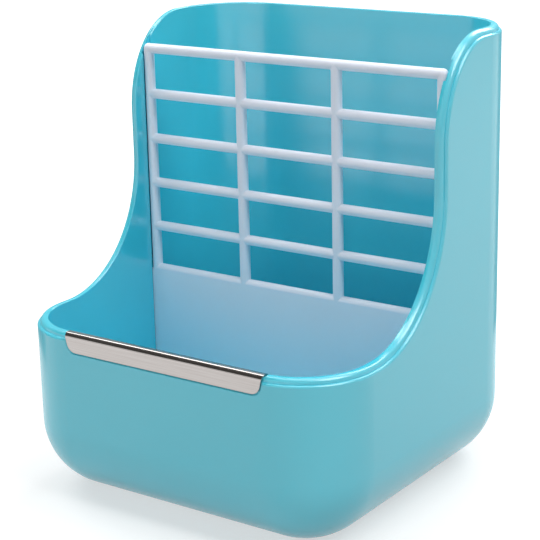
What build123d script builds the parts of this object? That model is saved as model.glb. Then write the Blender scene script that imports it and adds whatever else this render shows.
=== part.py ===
"""Hay feeder box: a moulded hay rack and feed bowl with a lift-out grille and a steel bite guard.

Millimetres. The origin is the centre of the footprint on the floor, +X is to the right of someone
facing the bowl, +Y is towards the back wall and +Z is up.
"""

from build123d import *
import os

# Box
width = 171.0
depth = 166.4
height = 204.0
corner_radius = 34.0  # the four upright corners
base_radius = 33.0  # the rounding all round the bottom
base_blend_gap = 0.5  # the inner bottom rounding is this much tighter than the inner corners
wall = 5.0
floor_thickness = 4.0

# Side outline: low bowl rim, S-sweep up to the tall rack
bowl_rim_height = 80.2
rack_front_y = 7.4  # front edge of the tall side walls
sweep_length = 52.0  # hollow curve, front to back
sweep_height = 58.5  # hollow curve, bottom to top
shoulder_length = 36.3  # full curve at the top of the side walls, front to back
shoulder_height = 44.0  # and bottom to top

# Rim
rim_outer_radius = 2.2
rim_inner_radius = 0.5
ledge = 1.3  # the outer skin stands this proud of the rim's bead
ledge_drop = 2.4  # and starts this far below the rim
skin_edge_radius = 1.1
recess_chamfer = 0.35  # round the bite guard's recess

# Hay grille
grille_y = 17.2
bar_diameter = 4.7
side_bar_diameter = 4.8
upright_diameter = 5.0
row_pitch = 21.55
row_count = 6
top_bar_height = 188.4
upright_spacing = 52.0
panel_thickness = 3.0
panel_edge_gap = 0.5  # between the panel and the box below the grooves

# Grooves for the grille
groove_depth = 1.2
groove_front_gap = 0.3  # in front of a side bar
groove_rear_gap = 1.3  # behind a side bar
tongue_length = 0.9  # how far a side bar stands into its groove
panel_tongue_length = 0.6  # and the panel's edges
groove_rise = 1.0  # the groove's end above the upright part of the wall
seat_gap = 0.3  # between a side bar's foot and the groove's end

# Bite guard
guard_width = 104.6
guard_foot_width = 100.5
guard_offset = 1.8  # middle of the guard, to the right of the bowl's middle
guard_drop = 8.0  # the legs' feet below the rim
guard_sheet = 0.8
guard_foot_radius = 4.7
guard_bend_radius = 1.6  # inside of the two bends
guard_bed = 0.3  # depth of the sheet's bed in the rim and in the bowl's inner face
guard_gap = 0.12  # between the sheet and the wall that it grips
guard_end_gap = 0.45  # between the sheet's edges and its recess

# Derived places
inner_half_width = width / 2 - wall
inner_half_depth = depth / 2 - wall
inner_corner_radius = corner_radius - wall
inner_base_radius = inner_corner_radius - base_blend_gap
inner_base_top = floor_thickness + inner_base_radius
side_bar_x = inner_half_width + tongue_length - side_bar_diameter / 2
bar_heights = [top_bar_height - row * row_pitch for row in range(row_count)]
panel_top = bar_heights[-1]
panel_half_width = inner_half_width - panel_edge_gap
panel_foot = floor_thickness + panel_edge_gap
panel_tongue_x = inner_half_width + panel_tongue_length
groove_front_y = grille_y - side_bar_diameter / 2 - groove_front_gap
groove_rear_y = grille_y + side_bar_diameter / 2 + groove_rear_gap
rim_thickness = wall - ledge
groove_foot = inner_base_top + groove_rise
side_bar_foot = groove_foot + seat_gap
guard_top = bowl_rim_height - guard_bed + guard_gap + guard_sheet
guard_foot = bowl_rim_height - guard_drop
guard_front = -depth / 2
guard_back = -inner_half_depth - guard_bed + guard_gap + guard_sheet
reach = 2 * max(width, depth, height)


def side_opening(inset):
    """The space above and in front of the box's side outline, drawn on YZ, moved into the box by inset."""
    rim_top = bowl_rim_height - inset
    sweep_start_y = rack_front_y - sweep_length
    sweep_top = bowl_rim_height + sweep_height
    shoulder_y = rack_front_y + shoulder_length
    shoulder_foot = height - shoulder_height
    with BuildSketch(Plane.YZ) as opening:
        with BuildLine():
            Line((-reach, rim_top), (sweep_start_y, rim_top))
            EllipticalCenterArc(
                (sweep_start_y, sweep_top), sweep_length + inset, sweep_height + inset, 270, arc_size=90
            )
            Line((rack_front_y + inset, sweep_top), (rack_front_y + inset, shoulder_foot))
            EllipticalCenterArc(
                (shoulder_y, shoulder_foot), shoulder_length - inset, shoulder_height - inset, 90, arc_size=90
            )
            Polyline(
                (shoulder_y, height - inset),
                (reach, height - inset),
                (reach, height + reach),
                (-reach, height + reach),
                (-reach, rim_top),
            )
        make_face()
    return opening.sketch


def guard_outline(plane, grow):
    """The guard's outline seen from the front, grown by grow on its sides and foot, open above the rim."""
    half_foot = guard_foot_width / 2 + grow
    half_top = guard_width / 2 + grow
    with BuildSketch(plane) as outline:
        with BuildLine():
            Polyline(
                (guard_offset - half_top, guard_top + wall),
                (guard_offset - half_top, guard_top),
                (guard_offset - half_foot, guard_foot - grow),
                (guard_offset + half_foot, guard_foot - grow),
                (guard_offset + half_top, guard_top),
                (guard_offset + half_top, guard_top + wall),
                close=True,
            )
        make_face()
        fillet(outline.vertices().group_by(Axis.Y)[0], guard_foot_radius + grow)
    return outline.sketch


def guard_channel(sheet_gap, end_gap):
    """The bent sheet over the front rim, grown by sheet_gap on its faces and end_gap round its edges."""
    with BuildPart() as channel:
        with BuildSketch(Plane.YZ):
            for gap, bend, mode in (
                (sheet_gap, guard_bend_radius + guard_sheet, Mode.ADD),
                (-guard_sheet - sheet_gap, guard_bend_radius, Mode.SUBTRACT),
            ):
                with BuildLine():
                    FilletPolyline(
                        (guard_front - gap, guard_foot - reach),
                        (guard_front - gap, guard_top + gap),
                        (guard_back + gap, guard_top + gap),
                        (guard_back + gap, guard_foot - reach),
                        radius=bend,
                    )
                    Line((guard_back + gap, guard_foot - reach), (guard_front - gap, guard_foot - reach))
                make_face(mode=mode)
        extrude(amount=width / 2, both=True)
        extrude(guard_outline(Plane.XZ, end_gap), amount=depth, both=True, mode=Mode.INTERSECT)
    return channel.part


# Set-back of the rim's bead: the outer skin is cut away down to the ledge
with BuildPart() as rim_band:
    extrude(side_opening(ledge_drop), amount=reach, both=True)
    with BuildSketch():
        RectangleRounded(width - 2 * ledge, depth - 2 * ledge, corner_radius - ledge)
    extrude(amount=2 * height, mode=Mode.SUBTRACT)

# The hollow inside the box
with BuildPart() as hollow:
    with BuildSketch(Plane.XY.offset(floor_thickness)):
        RectangleRounded(2 * inner_half_width, 2 * inner_half_depth, inner_corner_radius)
    extrude(amount=2 * height)
    fillet(hollow.faces().sort_by(Axis.Z)[0].edges(), inner_base_radius)


def depth_in_wall(edge):
    """How far the middle of an edge lies from the hollow."""
    return hollow.part.distance_to(Vertex(edge.position_at(0.5)))


with BuildPart() as feeder_body:
    with BuildSketch():
        RectangleRounded(width, depth, corner_radius)
    extrude(amount=height + wall)
    fillet(feeder_body.faces().sort_by(Axis.Z)[0].edges(), base_radius)
    add(hollow.part, mode=Mode.SUBTRACT)
    # ledge round the outside, with the edge of the skin eased
    add(rim_band.part, mode=Mode.SUBTRACT)
    ledge_edges = feeder_body.edges(Select.NEW)
    fillet(ledge_edges.filter_by(lambda edge: depth_in_wall(edge) > wall - ledge / 2), skin_edge_radius)
    # side outline, with both edges of the rim rounded
    extrude(side_opening(0), amount=reach, both=True, mode=Mode.SUBTRACT)
    rim_edges = feeder_body.edges(Select.NEW)
    fillet(rim_edges.filter_by(lambda edge: depth_in_wall(edge) < rim_thickness / 4), rim_inner_radius)
    fillet(rim_edges.filter_by(lambda edge: depth_in_wall(edge) > rim_thickness * 3 / 4), rim_outer_radius)
    # grooves for the grille, open through the rim
    with BuildSketch(Plane.XY.offset(groove_foot)):
        with Locations((0, (groove_front_y + groove_rear_y) / 2)):
            Rectangle(2 * (inner_half_width + groove_depth), groove_rear_y - groove_front_y)
    extrude(amount=height, mode=Mode.SUBTRACT)
    # recess for the bite guard, chamfered where it meets the skin
    add(guard_channel(guard_gap, guard_end_gap), mode=Mode.SUBTRACT)
    recess_mouth = guard_outline(Plane.XZ.offset(depth / 2), guard_end_gap + recess_chamfer)
    extrude(recess_mouth, amount=-recess_chamfer - guard_end_gap, taper=45, mode=Mode.SUBTRACT)

with BuildPart() as hay_grille:
    with BuildSketch(Plane.YZ.offset(-side_bar_x)):
        with Locations([(grille_y, bar_height) for bar_height in bar_heights]):
            Circle(bar_diameter / 2)
    extrude(amount=2 * side_bar_x)
    with BuildSketch(Plane.XY.offset(panel_top)):
        with Locations((-upright_spacing / 2, grille_y), (upright_spacing / 2, grille_y)):
            Circle(upright_diameter / 2)
    extrude(amount=top_bar_height - panel_top)
    with BuildSketch(Plane.XY.offset(side_bar_foot)):
        with Locations((-side_bar_x, grille_y), (side_bar_x, grille_y)):
            Circle(side_bar_diameter / 2)
    extrude(amount=top_bar_height - side_bar_foot)
    with Locations((-side_bar_x, grille_y, top_bar_height), (side_bar_x, grille_y, top_bar_height)):
        Sphere(side_bar_diameter / 2)
    with BuildSketch(Plane.XZ.offset(bar_diameter / 2 - grille_y)):
        with BuildLine():
            Polyline(
                (0, panel_top),
                (panel_tongue_x, panel_top),
                (panel_tongue_x, side_bar_foot),
                (panel_half_width, side_bar_foot),
                (panel_half_width, inner_base_top),
            )
            CenterArc(
                (inner_half_width - inner_base_radius, inner_base_top),
                inner_base_radius - panel_edge_gap,
                0,
                -90,
            )
            Line((inner_half_width - inner_base_radius, panel_foot), (0, panel_foot))
            mirror(about=Plane.YZ)
        make_face()
    extrude(amount=-panel_thickness)

feeder_body.part.label = "feeder_body"
hay_grille.part.label = "hay_grille"
bite_guard = guard_channel(0, 0)
bite_guard.label = "bite_guard"

os.makedirs("parts", exist_ok=True)
export_step(feeder_body.part, "parts/feeder_body.step")
export_step(hay_grille.part, "parts/hay_grille.step")
export_step(bite_guard, "parts/bite_guard.step")
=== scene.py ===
"""Looks for the hay feeder box: moulded plastics, polished steel, a pale studio and the photo's camera."""

import math

import bmesh
import bpy
from mathutils import Matrix, Vector

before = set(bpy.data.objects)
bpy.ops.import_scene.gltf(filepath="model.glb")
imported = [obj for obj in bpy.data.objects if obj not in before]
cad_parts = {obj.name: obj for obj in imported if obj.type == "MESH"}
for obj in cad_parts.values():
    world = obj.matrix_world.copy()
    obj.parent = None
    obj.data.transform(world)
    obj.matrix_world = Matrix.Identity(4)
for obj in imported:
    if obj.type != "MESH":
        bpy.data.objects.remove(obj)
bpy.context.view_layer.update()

MM = 0.001

# Camera: turned, raised and slightly rolled, with the aim and distance that frame the feeder
CAMERA_AZIMUTH = math.radians(35.35)
CAMERA_ELEVATION = math.radians(16.4)
CAMERA_ROLL = math.radians(-1.27)
CAMERA_DISTANCE = 733.62 * MM
CAMERA_AIM = Vector((0.37, 0, 95.54)) * MM
CAMERA_LENS = 108.06
CAMERA_SENSOR = 36

# Colours, linear: each material wanders between its colour and the deep one
BLUE = (0.06, 0.605, 0.755)
BLUE_DEEP = (0.058, 0.599, 0.749)
WHITE = (0.82, 0.87, 0.97)
WHITE_DEEP = (0.81, 0.86, 0.965)
STEEL = (0.50, 0.47, 0.455)
STEEL_DEEP = (0.45, 0.42, 0.405)
FLOOR_GREY = (0.45, 0.45, 0.45)
CARD_BLACK = (0.12, 0.115, 0.11)
BAND_BLUE = (0.36, 0.50, 0.54)
PURE_BLACK = (0, 0, 0)
PURE_WHITE = (1, 1, 1)

# The part of a noise's range that holds most of its values
TINT_SPAN = (0.35, 0.65)

# Box: glossy, with sink waves in the walls, drawn out upwards, and a fine orange peel
BODY_IOR = 1.9
BODY_TINT_SIZE = 60 * MM
BODY_ROUGHNESS = (0.2, 0.25)
BODY_SMEAR_SIZE = 9 * MM
BODY_SMEAR_SPAN = (0.4, 0.75)
SINK_WAVE_SIZE = 60 * MM
SINK_WAVE_STRETCH = (1, 1, 3)
SINK_WAVE_DEPTH = 0.12 * MM
PEEL_SIZE = 1.4 * MM
PEEL_DEPTH = 0.001 * MM

# Grille: satin, with a fine grain
GRILLE_IOR = 1.49
GRILLE_TINT_SIZE = 30 * MM
GRILLE_ROUGHNESS = (0.3, 0.38)
GRILLE_SMEAR_SIZE = 6 * MM
GRILLE_SMEAR_SPAN = (0.35, 0.7)
GRAIN_SIZE = 0.9 * MM
GRAIN_DEPTH = 0.002 * MM

# Guard: polished, with hairlines drawn out along it
STEEL_ROUGHNESS = (0.07, 0.13)
HAIR_SIZE = 0.35 * MM
HAIR_STRETCH = (90, 1, 1)
HAIR_SPAN = (0.3, 0.7)
HAIR_DEPTH = 0.0008 * MM

# Floor and background, in metres
FLOOR_RADIUS = 6.0
FLOOR_SIDES = 96
FLOOR_OWN_LIGHT = 0.58  # white that the floor adds under the feeder, for the camera and for reflections
FLOOR_SHADE_RADIUS = 0.25  # from here out, the floor's own light grows
FLOOR_WHITE_RADIUS = 1.3  # to plain white here
WORLD_LIGHT = 0.1

# Lamps: name, azimuth and elevation in degrees, side in metres and power in watts
LAMP_DISTANCE = 1.35
SOFTBOXES = (
    ("right_softbox", 90, 54, 0.8, 10.2),
    ("left_softbox", -90, 50, 0.8, 10.2),
    ("back_softbox", 180, 38, 0.8, 13),
    ("top_softbox", 0, 88, 0.7, 3.2),
)
FRONT_FILL = ("front_fill", 0, 12, 0.9, 4.8)

# Dark card at the left and low band round the back, which only reflections see
CARD_AZIMUTH = -62
CARD_ELEVATION = 42
CARD_DISTANCE = 1.2
CARD_WIDTH = 1.7
CARD_HEIGHT = 1.15
BAND_RADIUS = 0.26
BAND_HEIGHT = 0.3
BAND_FIRST_AZIMUTH = 157
BAND_LAST_AZIMUTH = 290
BAND_STEPS = 30


# ---------------------------------------------------------------- materials


class Shader:
    """A new node material with its Principled shader, and short ways to add and join nodes."""

    def __init__(self, name):
        self.material = bpy.data.materials.new(name)
        self.material.use_nodes = True
        self.tree = self.material.node_tree
        self.surface = self.tree.nodes["Principled BSDF"]
        self.place = self.node("ShaderNodeTexCoord").outputs["Object"]

    def node(self, kind, **settings):
        made = self.tree.nodes.new(kind)
        for key, value in settings.items():
            setattr(made, key, value)
        return made

    def join(self, source, target):
        self.tree.links.new(source, target)

    def noise(self, feature, detail=3.0, roughness=0.5, stretch=(1, 1, 1)):
        """Noise whose features are about feature metres across, drawn out along an axis by stretch."""
        mapping = self.node("ShaderNodeMapping")
        mapping.inputs["Scale"].default_value = [1 / (feature * s) for s in stretch]
        texture = self.node("ShaderNodeTexNoise")
        texture.inputs["Scale"].default_value = 1
        texture.inputs["Detail"].default_value = detail
        texture.inputs["Roughness"].default_value = roughness
        self.join(self.place, mapping.inputs["Vector"])
        self.join(mapping.outputs["Vector"], texture.inputs["Vector"])
        return texture.outputs["Fac"]

    def remap(self, value, span, target=(0, 1)):
        """value taken from the range span to the range target."""
        ranged = self.node("ShaderNodeMapRange")
        for socket, number in zip(("From Min", "From Max", "To Min", "To Max"), (*span, *target)):
            ranged.inputs[socket].default_value = number
        self.join(value, ranged.inputs["Value"])
        return ranged.outputs["Result"]

    def tint(self, noise, colour, deep_colour):
        """Lets the base colour wander with the noise, from colour to deep_colour."""
        mix = self.node("ShaderNodeMix", data_type="RGBA")
        mix.inputs["A"].default_value = (*colour, 1)
        mix.inputs["B"].default_value = (*deep_colour, 1)
        self.join(self.remap(noise, TINT_SPAN), mix.inputs["Factor"])
        self.join(mix.outputs["Result"], self.surface.inputs["Base Color"])

    def bump(self, height, depth, under=None):
        """A bump of that depth in metres for a height of 0 to 1, on top of the bump under it."""
        bump = self.node("ShaderNodeBump")
        bump.inputs["Strength"].default_value = 1
        bump.inputs["Distance"].default_value = depth
        self.join(height, bump.inputs["Height"])
        if under is not None:
            self.join(under, bump.inputs["Normal"])
        return bump.outputs["Normal"]


def body_plastic():
    """Glossy blue moulded plastic."""
    shader = Shader("body_plastic")
    shader.surface.inputs["IOR"].default_value = BODY_IOR
    shader.tint(shader.noise(BODY_TINT_SIZE, detail=2), BLUE, BLUE_DEEP)
    smears = shader.noise(BODY_SMEAR_SIZE, detail=6, roughness=0.6)
    shader.join(shader.remap(smears, BODY_SMEAR_SPAN, BODY_ROUGHNESS), shader.surface.inputs["Roughness"])
    sink = shader.noise(SINK_WAVE_SIZE, detail=0, stretch=SINK_WAVE_STRETCH)
    waves = shader.bump(sink, SINK_WAVE_DEPTH)
    peel = shader.bump(shader.noise(PEEL_SIZE, detail=1), PEEL_DEPTH, under=waves)
    shader.join(peel, shader.surface.inputs["Normal"])
    return shader.material


def grille_plastic():
    """Satin white moulded plastic."""
    shader = Shader("grille_plastic")
    shader.surface.inputs["IOR"].default_value = GRILLE_IOR
    shader.tint(shader.noise(GRILLE_TINT_SIZE, detail=2), WHITE, WHITE_DEEP)
    smears = shader.noise(GRILLE_SMEAR_SIZE, detail=5, roughness=0.6)
    satin = shader.remap(smears, GRILLE_SMEAR_SPAN, GRILLE_ROUGHNESS)
    shader.join(satin, shader.surface.inputs["Roughness"])
    grain = shader.bump(shader.noise(GRAIN_SIZE, detail=2), GRAIN_DEPTH)
    shader.join(grain, shader.surface.inputs["Normal"])
    return shader.material


def guard_steel():
    """Polished stainless steel, with tint, gloss and relief from the same hairlines."""
    shader = Shader("guard_steel")
    shader.surface.inputs["Metallic"].default_value = 1
    hairs = shader.noise(HAIR_SIZE, detail=3, roughness=0.6, stretch=HAIR_STRETCH)
    shader.tint(hairs, STEEL, STEEL_DEEP)
    shader.join(shader.remap(hairs, HAIR_SPAN, STEEL_ROUGHNESS), shader.surface.inputs["Roughness"])
    shader.join(shader.bump(hairs, HAIR_DEPTH), shader.surface.inputs["Normal"])
    return shader.material


def dress(node_name, material):
    """Gives a CAD node its material on every face."""
    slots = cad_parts[node_name].data.materials
    slots.clear()
    slots.append(material)


# ---------------------------------------------------------------- studio


def matte_mesh(name, build, colour, glow=None):
    """A new matte object whose mesh is filled by build(bm); glow is the colour of its own light."""
    mesh = bpy.data.meshes.new(name)
    bm = bmesh.new()
    build(bm)
    bm.to_mesh(mesh)
    bm.free()
    made = bpy.data.objects.new(name, mesh)
    bpy.context.scene.collection.objects.link(made)
    material = bpy.data.materials.new(f"{name}_matte")
    material.use_nodes = True
    matte = material.node_tree.nodes["Principled BSDF"]
    matte.inputs["Base Color"].default_value = (*colour, 1)
    matte.inputs["Roughness"].default_value = 1
    matte.inputs["Specular IOR Level"].default_value = 0
    if glow is not None:
        matte.inputs["Emission Color"].default_value = (*glow, 1)
        matte.inputs["Emission Strength"].default_value = 1
    mesh.materials.append(material)
    return made


def seen_directly(tree):
    """1 for camera, glossy and transmission rays, else 0."""
    path = tree.nodes.new("ShaderNodeLightPath")
    seen = path.outputs["Is Camera Ray"]
    for ray in ("Is Glossy Ray", "Is Transmission Ray"):
        either = tree.nodes.new("ShaderNodeMath")
        either.operation = "MAXIMUM"
        tree.links.new(seen, either.inputs[0])
        tree.links.new(path.outputs[ray], either.inputs[1])
        seen = either.outputs[0]
    return seen


def pale_floor():
    """A grey floor that keeps the feeder's shadow and grows to plain white with its distance."""

    def disc(bm):
        bmesh.ops.create_circle(bm, cap_ends=True, segments=FLOOR_SIDES, radius=FLOOR_RADIUS)

    floor = matte_mesh("floor", disc, FLOOR_GREY, glow=PURE_WHITE)
    tree = floor.data.materials[0].node_tree
    place = tree.nodes.new("ShaderNodeTexCoord")
    distance = tree.nodes.new("ShaderNodeVectorMath")
    distance.operation = "LENGTH"
    own_light = tree.nodes.new("ShaderNodeMapRange")
    own_light.inputs["From Min"].default_value = FLOOR_SHADE_RADIUS
    own_light.inputs["From Max"].default_value = FLOOR_WHITE_RADIUS
    own_light.inputs["To Min"].default_value = FLOOR_OWN_LIGHT
    own_light.inputs["To Max"].default_value = 1
    strength = tree.nodes.new("ShaderNodeMath")
    strength.operation = "MULTIPLY"
    tree.links.new(place.outputs["Object"], distance.inputs[0])
    tree.links.new(distance.outputs["Value"], own_light.inputs["Value"])
    tree.links.new(own_light.outputs["Result"], strength.inputs[0])
    tree.links.new(seen_directly(tree), strength.inputs[1])
    tree.links.new(strength.outputs["Value"], tree.nodes["Principled BSDF"].inputs["Emission Strength"])


def white_world():
    """A weak white sky that is plain white wherever it is seen directly."""
    world = bpy.data.worlds.new("studio")
    world.use_nodes = True
    tree = world.node_tree
    sky = tree.nodes["Background"]
    sky.inputs["Color"].default_value = (*PURE_WHITE, 1)
    strength = tree.nodes.new("ShaderNodeMapRange")
    strength.inputs["To Min"].default_value = WORLD_LIGHT
    strength.inputs["To Max"].default_value = 1
    tree.links.new(seen_directly(tree), strength.inputs["Value"])
    tree.links.new(strength.outputs["Result"], sky.inputs["Strength"])
    bpy.context.scene.world = world


def outward(azimuth, elevation):
    """The direction from the feeder to an azimuth, 0 at the front and 90 at the right, and an elevation."""
    side, front = math.sin(azimuth), -math.cos(azimuth)
    return Vector((side * math.cos(elevation), front * math.cos(elevation), math.sin(elevation)))


def place_on_dome(holder, azimuth, elevation, distance):
    """Puts holder that far from the feeder, at angles in degrees, and turns its -Z to it."""
    direction = outward(math.radians(azimuth), math.radians(elevation))
    holder.location = CAMERA_AIM + distance * direction
    holder.rotation_euler = direction.to_track_quat("Z", "Y").to_euler()


def softbox(name, azimuth, elevation, side, power):
    """A square area lamp, unseen by the camera."""
    lamp = bpy.data.lights.new(name, "AREA")
    lamp.size = side
    lamp.energy = power
    holder = bpy.data.objects.new(name, lamp)
    holder.visible_camera = False
    place_on_dome(holder, azimuth, elevation, LAMP_DISTANCE)
    bpy.context.scene.collection.objects.link(holder)
    return holder


def reflections_only(made):
    """Hides an object from every ray but the glossy ones."""
    for ray in ("visible_camera", "visible_diffuse", "visible_shadow", "visible_transmission"):
        setattr(made, ray, False)


def dark_card():
    """A dark card at the left: the dark line along the steel."""
    card = matte_mesh("dark_card", lambda bm: bmesh.ops.create_grid(bm, size=0.5), CARD_BLACK)
    card.scale = (CARD_WIDTH, CARD_HEIGHT, 1)
    place_on_dome(card, CARD_AZIMUTH, CARD_ELEVATION, CARD_DISTANCE)
    reflections_only(card)


def edge_band():
    """A low blue band round the back: it keeps the walls' edges from fading to white."""

    def arc(bm):
        posts = []
        for step in range(BAND_STEPS + 1):
            turned = (BAND_LAST_AZIMUTH - BAND_FIRST_AZIMUTH) * step / BAND_STEPS
            foot = BAND_RADIUS * outward(math.radians(BAND_FIRST_AZIMUTH + turned), 0)
            top = foot + Vector((0, 0, BAND_HEIGHT))
            posts.append((bm.verts.new(foot), bm.verts.new(top)))
        for post, next_post in zip(posts, posts[1:]):
            bm.faces.new((post[0], next_post[0], next_post[1], post[1]))

    band = matte_mesh("edge_band", arc, PURE_BLACK, glow=BAND_BLUE)
    reflections_only(band)


def studio():
    """Floor, background and lamps; the front fill stays out of the reflections."""
    white_world()
    pale_floor()
    dark_card()
    edge_band()
    for lamp in SOFTBOXES:
        softbox(*lamp)
    softbox(*FRONT_FILL).visible_glossy = False


def camera():
    """The photograph's camera."""
    back = outward(CAMERA_AZIMUTH, CAMERA_ELEVATION)
    level_right = Vector((math.cos(CAMERA_AZIMUTH), math.sin(CAMERA_AZIMUTH), 0))
    level_up = back.cross(level_right)
    right = level_right * math.cos(CAMERA_ROLL) + level_up * math.sin(CAMERA_ROLL)
    up = back.cross(right)
    data = bpy.data.cameras.new("camera")
    data.sensor_width = CAMERA_SENSOR
    data.lens = CAMERA_LENS
    made = bpy.data.objects.new("camera", data)
    turn = Matrix((right, up, back)).transposed()
    made.matrix_world = Matrix.Translation(CAMERA_AIM + back * CAMERA_DISTANCE) @ turn.to_4x4()
    bpy.context.scene.collection.objects.link(made)
    bpy.context.scene.camera = made


# ---------------------------------------------------------------- scene

dress("feeder_body", body_plastic())
dress("hay_grille", grille_plastic())
dress("bite_guard", guard_steel())
studio()
camera()
bpy.context.scene.view_settings.view_transform = "Standard"
